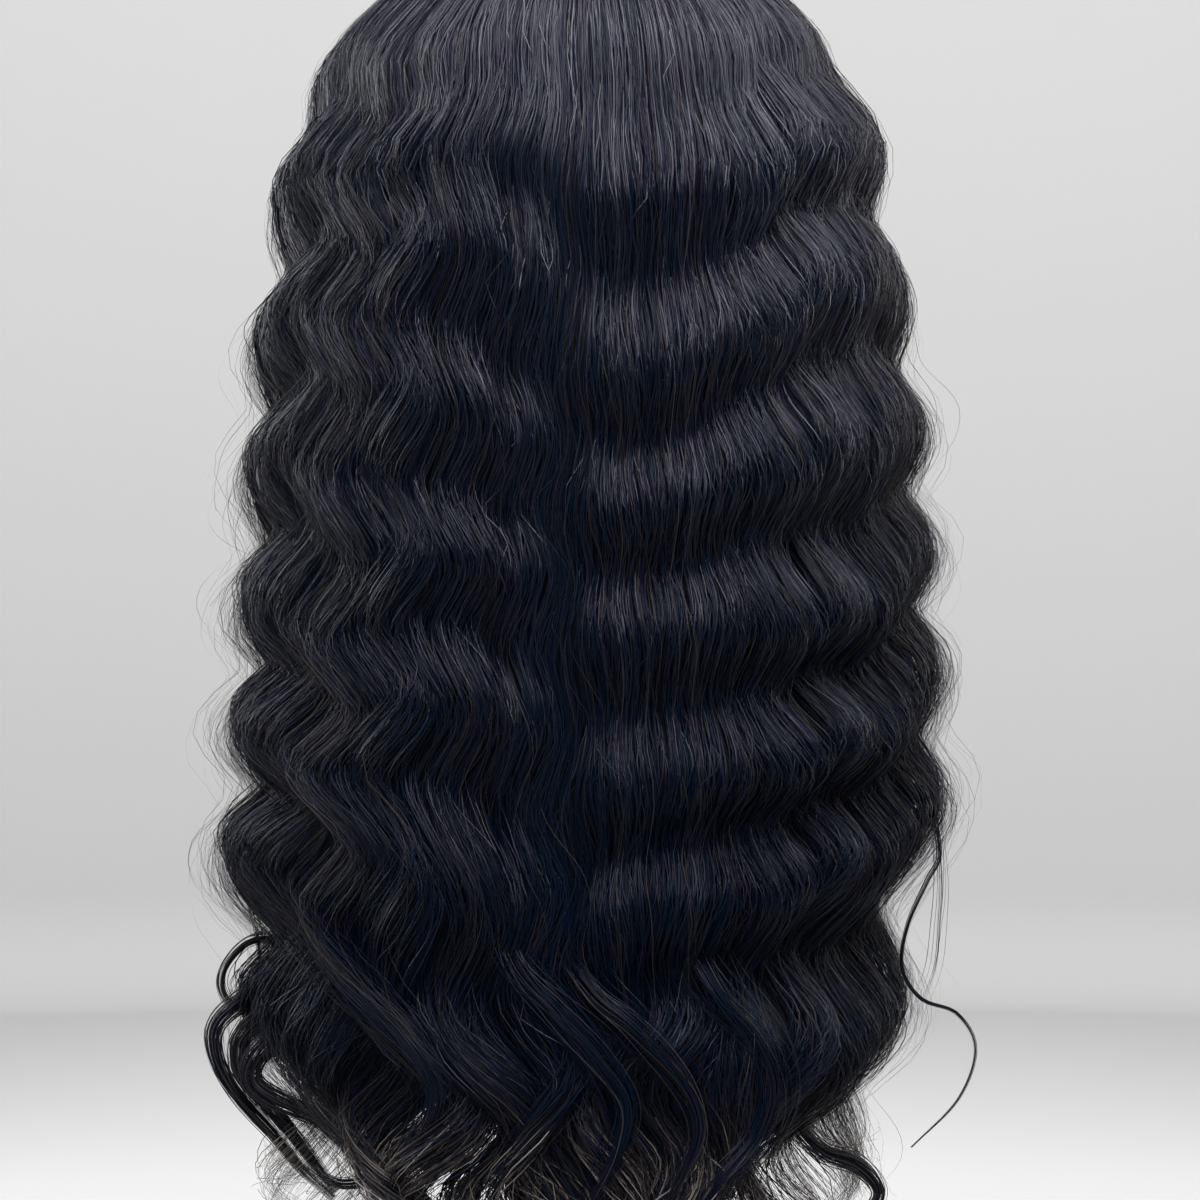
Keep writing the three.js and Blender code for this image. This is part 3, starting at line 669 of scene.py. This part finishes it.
# Tresses that leave the falls. Each route has places in mm: to the side (+X), to the back (+Y) and the drop.
swirl = {
    "strands": 54, "spread": (9, 7.5, 2.5), "width": (0.26, 0.5),
    "flat": 0.4, "stray": 0.6, "warm": -0.1,
}
looseTresses = {
    "tendril": {
        "side": (-121, -127, -130, -125.5, -118, -116, -123, -136, -143, -137, -120),
        "back": (20, 20, 22, 24, 26, 28, 28, 26, 24, 22, 20),
        "drop": (290, 312, 330, 339.5, 356, 371, 382, 387.5, 400.5, 419, 437),
        "strands": 20, "spread": (2.2, 1.1, 0.4), "width": (0.18, 0.30)},
    "tendrilHairs": {
        "side": (-121, -127, -129, -130, -129, -127, -121), "back": (20, 20, 20, 20, 20, 20, 20),
        "drop": (290, 306, 322, 340, 356, 372, 388),
        "strands": 12, "spread": (3, 3.5, 3), "width": (0.14, 0.24)},
    "upperLoop": {
        "side": (92, 104, 110, 121, 129, 131, 127, 117, 104), "back": (20, 20, 20, 20, 20, 20, 20, 20, 20),
        "drop": (369, 364, 361, 362, 370, 378, 385, 388, 392),
        "strands": 30, "spread": (3, 2, 2.4), "width": (0.25, 0.45)},
    "outerLoop": {
        "side": (84, 102, 115, 127, 132.5, 133, 130, 123, 112, 100, 89),
        "back": (24, 24, 24, 24, 24, 24, 24, 24, 26, 30, 34),
        "drop": (368, 373, 378, 386, 392.5, 400, 409, 419.5, 431, 444, 453),
        "strands": 80, "spread": (6, 3, 1.4), "width": (0.3, 0.5)},
    "innerLoop": {
        "side": (80, 99, 113, 122, 124, 121, 109, 97, 88), "back": (28, 28, 28, 28, 28, 28, 30, 34, 38),
        "drop": (376, 380, 387, 395, 403, 412, 425, 439, 450),
        "strands": 90, "spread": (6, 3.8, 2), "width": (0.3, 0.5)},
    "lastLoop": {
        "side": (76, 95, 109, 117, 118, 110, 93, 80), "back": (34, 34, 34, 34, 34, 36, 40, 44),
        "drop": (384, 387, 395, 403, 411, 417, 424, 436),
        "strands": 90, "spread": (7, 4.5, 3), "width": (0.3, 0.5)},
    "hangingLock": {
        "side": (121, 122, 120, 118, 116, 112), "back": (4, 4, 4, 4, 6, 8),
        "drop": (330, 350, 359, 375, 390, 408),
        "strands": 14, "spread": (2, 1.6, 1), "width": (0.25, 0.4)},
    "leftTail": {
        "side": (30, 44, 55, 69, 82, 91, 97), "back": (92, 86, 80, 74, 68, 64, 62),
        "drop": (402, 420, 431, 438, 442, 440, 436),
        "strands": 44, "spread": (4.5, 3, 1.4), "width": (0.26, 0.46)},
    "leftSwirl": {
        "side": (110, 101, 88, 75, 61, 50, 50, 57, 64, 66),
        "back": (38, 51, 70, 87, 98, 102, 101, 96, 88, 82),
        "drop": (330, 346, 360, 373, 385, 400, 412, 426, 441, 450), **swirl},
    "midSwirl": {
        "side": (30, 27, 21, 8, -6, -15.5, -12.5, -5, 3),
        "back": (95, 101, 109, 113, 115, 115, 114, 112, 108),
        "drop": (322, 340, 360, 375, 391, 407, 423, 438, 452), **swirl},
    "innerSwirl": {
        "side": (12, 8, -4, -18, -34, -40, -35, -26), "back": (93, 101, 110, 114, 111, 108, 107, 104),
        "drop": (336, 354, 371, 382, 400, 416, 432, 448), **swirl},
    "rightSwirl": {
        "side": (-34, -38, -47, -60, -66, -61, -48, -37), "back": (85, 93, 101, 99, 95, 95, 100, 100),
        "drop": (336, 354, 371, 387, 405, 422, 436, 450), **swirl},
    "rightCurl": {
        "side": (-64, -77, -86, -97, -104.5, -106, -99, -90), "back": (58, 54, 50, 46, 42, 40, 40, 42),
        "drop": (408, 424, 433, 438, 445, 452, 460, 466),
        "strands": 70, "spread": (5, 4, 1.2), "width": (0.3, 0.5)},
}
tressForm = {
    "rows": 64, "routeSteps": 400, "twist": 1.2, "flat": 1,
    "stray": 0.25, "strayPace": (3, 9), "strayStart": (0, 6),
    "facing": (0.0, 0.6, 0.15), "tipWidth": 0.25, "tipRun": (0.7, 1), "roll": 0.3,
    "tone": (2, 3), "warm": 0.2, "warmest": 0.85,
}


def smoothRoute(places, count):
    # points at even steps along a smooth curve through a tress's places
    ends = np.concatenate([[2 * places[0] - places[1]], places, [2 * places[-1] - places[-2]]])
    t = np.linspace(0, len(places) - 1.0001, tressForm["routeSteps"])
    k = t.astype(int)
    t = (t - k)[:, None]
    a, b, c, d = (ends[k + j] for j in range(4))
    fine = b + 0.5 * t * (c - a + t * (2 * a - 5 * b + 4 * c - d + t * (3 * (b - c) + d - a)))
    length = np.concatenate([[0], np.cumsum(np.linalg.norm(np.diff(fine, axis=0), axis=1))])
    at = np.linspace(0, length[-1], count)
    return np.stack([np.interp(at, length, fine[:, j]) for j in range(3)], -1)


def looseBend(down, count, pace, start):
    return np.sin(down * rng.uniform(*pace, (count, 1)) + rng.uniform(*start, (count, 1)))


def tressStrands(tress):
    form = {**tressForm, **tress}
    rows, count = form["rows"], form["strands"]
    places = np.stack([form["side"], form["back"], -np.array(form["drop"], float)], -1)
    route = smoothRoute(places, rows)
    along = np.gradient(route, axis=0)
    along /= np.linalg.norm(along, axis=-1, keepdims=True)
    out = np.cross(along, np.array([0.0, 1.0, 0.0]))
    out /= np.linalg.norm(out, axis=-1, keepdims=True)
    back = np.cross(out, along)
    down = np.linspace(0, 1, rows)
    spread = np.interp(down, (0, 0.5, 1), form["spread"])
    turned = rng.uniform(0, circle, (count, 1)) + rng.normal(0, form["twist"], (count, 1)) * down
    far = np.sqrt(rng.uniform(0, 1, (count, 1))) * spread
    far = far * (1 + form["stray"] * looseBend(down, count, form["strayPace"], form["strayStart"]))
    off = out * (far * np.cos(turned))[..., None] + back * (form["flat"] * far * np.sin(turned))[..., None]
    away = off / (spread[None, :, None] + 1e-6) + np.array(form["facing"])
    away /= np.linalg.norm(away, axis=-1, keepdims=True)
    width = rng.uniform(*form["width"], count)[:, None] * tipTaper(form, down)
    roll = rng.normal(0, form["roll"], (count, 1))
    tone = np.clip(rng.beta(*form["tone"], count)[:, None] + form["warm"], 0, form["warmest"])
    return route + off, away, width, roll, tone


# Single hairs that stand off the hair, by turn and drop.
flyawayColumns = ("turns", "drops", "count", "reach", "width", "cross")
flyaways = (
    ((-112, -74), (100, 400), 400, (2, 20), (0.16, 0.28), 4),
    ((70, 112), (110, 340), 480, (2, 18), (0.16, 0.28), 4),
    ((-75, 75), (50, 400), 420, (1.5, 5), (0.2, 0.32), 11),
    ((-100, 100), (20, 430), 700, (0.6, 3), (0.14, 0.23), 7),
    ((-140, 140), (300, 430), 110, (2, 14), (0.12, 0.22), 4),
)
flyawayForm = {
    "rows": 22, "pathRows": (12, 90), "roots": 30, "shift": 0.3, "coil": 0.15, "loose": 0.4,
    "off": 1, "reachScatter": (0.3, 1), "endsFree": 0.5, "freeCurve": 1.3, "archCurve": 1.2,
    "curl": 0.25, "curlPace": (4, 10), "curlStart": (0, 6), "drift": 0.45, "rise": 0.35,
    "roomX": (-146, 146), "roomY": (-104, 144), "leastStep": 0.02,      # mm
    "tipWidth": 0.4, "roll": 0.5, "tone": (2, 2.6), "toneRange": (0.12, 0.9),
}


def flyawayStrands(fly):
    form = flyawayForm
    rows, count = form["rows"], fly["count"]
    turn = rng.uniform(*fly["turns"], count)
    plain = np.ones(count)
    shift = rng.normal(0, form["shift"], count)
    points, away = strandPaths(turn, plain, tipDrop(turn), shift, plain, plain * form["coil"],
                               plain * form["loose"], plain * form["roots"], *form["pathRows"])
    # a stretch of each strand, lifted off the hair towards its free end
    drop = rng.uniform(*fly["drops"], count)
    first = np.abs(-points[..., 2] - drop[:, None]).argmin(1)
    take = np.clip(first[:, None] + np.arange(rows) * rng.integers(1, 3, (count, 1)), 0, points.shape[1] - 1)
    points = np.take_along_axis(points, take[..., None], 1)
    away = np.take_along_axis(away, take[..., None], 1)
    down = np.linspace(0, 1, rows)
    reach = rng.uniform(*fly["reach"], (count, 1)) * rng.uniform(*form["reachScatter"], (count, 1))
    arch = np.sin(math.pi * down) ** form["archCurve"]
    free = np.where(rng.random((count, 1)) < form["endsFree"], down ** form["freeCurve"], arch)
    curl = looseBend(down, count, form["curlPace"], form["curlStart"])
    aside = np.cross(away, np.array([0.0, 0.0, 1.0]))
    points = points + away * (form["off"] + reach * free + form["curl"] * reach * (curl * down))[..., None]
    drift = rng.normal(0, form["drift"], (count, 1)) * reach * free
    drift = drift + rng.normal(0, fly["cross"], (count, 1)) * down
    points = points + aside * drift[..., None]
    points[..., 2] += rng.normal(0, form["rise"], (count, 1)) * reach * free
    points[..., 0] = np.clip(points[..., 0], *form["roomX"])
    points[..., 1] = np.clip(points[..., 1], *form["roomY"])
    # a hair keeps a small step between points where its stretch has run out
    points[..., 2] -= np.arange(rows) * form["leastStep"]
    width = rng.uniform(*fly["width"], (count, 1)) * mix(1, form["tipWidth"], down)
    roll = rng.normal(0, form["roll"], (count, 1))
    least, most = form["toneRange"]
    tone = np.clip(most * rng.beta(*form["tone"], (count, 1)) + least, 0, most)
    return points, away, width, roll, tone


looseStart = 0.58       # share of the hair's length where the loose hairs begin, for their shine
looseGroups = [tressStrands(tress) for tress in looseTresses.values()]
looseGroups += [flyawayStrands(dict(zip(flyawayColumns, row))) for row in flyaways]
ribbonMesh("looseHairs", looseGroups, blueBlackHair, looseStart)

# Stretch net of the cap and lace under the part: the solids keep their shape and get a woven finish.
netFinish = {"mesh": 380, "thread": (0.020, 0.019, 0.022, 1), "hole": (0.004, 0.004, 0.005, 1), "bump": 0.0003}
laceFinish = {"mesh": 900, "thread": (0.36, 0.24, 0.155, 1), "hole": (0.17, 0.10, 0.062, 1), "bump": 0.00012}
weaveFinish = {"unevenness": 0.25, "threadEdges": (0.10, 0.22), "roughness": 0.85}


def makeNet(name, values):
    finish, nodes, links, shader = newMaterial(name)
    place = nodes.new("ShaderNodeTexCoord")
    cells = nodes.new("ShaderNodeTexVoronoi")
    cells.feature = "DISTANCE_TO_EDGE"
    cells.inputs["Scale"].default_value = values["mesh"]
    cells.inputs["Randomness"].default_value = weaveFinish["unevenness"]
    links.new(place.outputs["Object"], cells.inputs["Vector"])
    ramp = nodes.new("ShaderNodeValToRGB")
    for element, at, key in zip(ramp.color_ramp.elements, weaveFinish["threadEdges"], ("thread", "hole")):
        element.position, element.color = at, values[key]
    links.new(cells.outputs["Distance"], ramp.inputs["Fac"])
    links.new(ramp.outputs["Color"], shader.inputs["Base Color"])
    weave = nodes.new("ShaderNodeBump")
    weave.invert = True
    weave.inputs["Distance"].default_value = values["bump"]
    links.new(cells.outputs["Distance"], weave.inputs["Height"])
    links.new(weave.outputs["Normal"], shader.inputs["Normal"])
    shader.inputs["Roughness"].default_value = weaveFinish["roughness"]
    return finish


wovenPieces = {"cap": makeNet("stretchNet", netFinish), "lace_part": makeNet("brownLace", laceFinish)}
for nodeName, finish in wovenPieces.items():
    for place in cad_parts[nodeName].material_slots:
        place.material = finish
print("cap and lace finished")

# Studio: a pale floor that sweeps up into a wall, open at the front, with soft light from above and behind.
# Near the middle the floor is painted darker, a painted shade against the pool of softbox light there.
studio = {
    "floorLevel": -0.758, "wallRadius": 3.15, "sweepRadius": 0.14, "wallTop": 2.4, "wallLean": 0.02,
    "around": 96, "sweepSteps": 12, "frontOpening": (-0.85, -0.5),
    "pale": (0.445, 0.445, 0.442, 1), "paintedShadeNearMiddle": (0.27, 0.27, 0.267, 1), "paleReach": (0.9, 1.9),
    "dullness": 0.9,
    "lens": 100, "sensor": 36, "distance": 1.233, "cameraX": -0.0067, "cameraZ": -0.2378,
    "world": (0.066, 0.076, 0.102, 1), "worldStrength": 0.6,
}
studioLights = {
    "softbox": {"at": (-0.08, 0.85, 0.82), "aim": (-0.08, 0.6, 0), "size": (1.4, 1.8), "watts": 86},
    "wallLight": {"at": (0, -1.1, 1.5), "aim": (0, -2.8, -0.3), "size": (2.0, 1.2), "watts": 74},
    "leftPanel": {"at": (1.5, -0.9, 0.35), "aim": (0.1, 0, -0.05), "size": (0.7, 1.6), "watts": 32},
    "rightPanel": {"at": (-1.5, -0.9, 0.35), "aim": (-0.1, 0, -0.05), "size": (0.7, 1.6), "watts": 22},
}


def makeFloorFinish():
    finish, nodes, links, shader = newMaterial("paleFloor")
    place = nodes.new("ShaderNodeTexCoord")
    flat = nodes.new("ShaderNodeVectorMath")
    flat.operation = "MULTIPLY"
    flat.inputs[1].default_value = (1, 1, 0)
    reach = nodes.new("ShaderNodeVectorMath")
    reach.operation = "LENGTH"
    # painted shade: the floor is darker near the middle, where the softbox's light pools
    fade = mapRange(nodes, studio["paleReach"], (0, 1))
    fade.interpolation_type = "SMOOTHSTEP"
    shade = nodes.new("ShaderNodeMix")
    shade.data_type = "RGBA"
    shade.inputs["A"].default_value, shade.inputs["B"].default_value = studio["paintedShadeNearMiddle"], studio["pale"]
    links.new(place.outputs["Object"], flat.inputs[0])
    links.new(flat.outputs["Vector"], reach.inputs[0])
    links.new(reach.outputs["Value"], fade.inputs["Value"])
    links.new(fade.outputs["Result"], shade.inputs["Factor"])
    links.new(shade.outputs["Result"], shader.inputs["Base Color"])
    shader.inputs["Roughness"].default_value = studio["dullness"]
    return finish


def makeFloor():
    s = studio
    around = s["around"]
    sweep = [(s["wallRadius"] - s["sweepRadius"], 0.0)]
    for k in range(1, s["sweepSteps"] + 1):
        a = math.radians(90 * k / s["sweepSteps"])
        r = s["wallRadius"] - s["sweepRadius"] * (1 - math.sin(a))
        sweep.append((r, s["sweepRadius"] * (1 - math.cos(a))))
    sweep.append((s["wallRadius"] + s["wallLean"], s["wallTop"] - s["floorLevel"]))
    places = [(0, 0, s["floorLevel"])]
    faces = [(0, 1 + j, 1 + (j + 1) % around) for j in range(around)]
    for k, (r, rise) in enumerate(sweep):
        for j in range(around):
            a = circle * j / around
            behind = float(smoothStep(*s["frontOpening"], -math.sin(a)))
            places.append((r * math.cos(a), r * math.sin(a), s["floorLevel"] + rise * behind))
        if k:
            first = 1 + (k - 1) * around
            for j in range(around):
                here, after = first + j, first + (j + 1) % around
                faces.append((here, here + around, after + around, after))
    mesh = bpy.data.meshes.new("studioFloor")
    mesh.from_pydata(places, [], faces)
    mesh.polygons.foreach_set("use_smooth", np.ones(len(mesh.polygons), bool))
    mesh.materials.append(makeFloorFinish())
    floor = bpy.data.objects.new("studioFloor", mesh)
    bpy.context.scene.collection.objects.link(floor)


def makeLights():
    world = bpy.data.worlds.new("studioWorld")
    bpy.context.scene.world = world
    world.use_nodes = True
    world.node_tree.nodes["Background"].inputs["Color"].default_value = studio["world"]
    world.node_tree.nodes["Background"].inputs["Strength"].default_value = studio["worldStrength"]
    for name, values in studioLights.items():
        lamp = bpy.data.lights.new(name, "AREA")
        lamp.shape, lamp.energy = "RECTANGLE", values["watts"]
        lamp.size, lamp.size_y = values["size"]
        light = bpy.data.objects.new(name, lamp)
        light.location = values["at"]
        aim = Vector(values["aim"]) - Vector(values["at"])
        light.rotation_euler = aim.to_track_quat("-Z", "Y").to_euler()
        bpy.context.scene.collection.objects.link(light)


def makeCamera():
    # level, from behind the wig
    lens = bpy.data.cameras.new("photoCamera")
    lens.lens, lens.sensor_width = studio["lens"], studio["sensor"]
    camera = bpy.data.objects.new("photoCamera", lens)
    camera.location = (studio["cameraX"], studio["distance"], studio["cameraZ"])
    camera.rotation_euler = (math.radians(90), 0, math.radians(180))
    bpy.context.scene.collection.objects.link(camera)
    bpy.context.scene.camera = camera
    bpy.context.scene.view_settings.view_transform = "Standard"


makeFloor()
makeLights()
makeCamera()
print("studio ready")
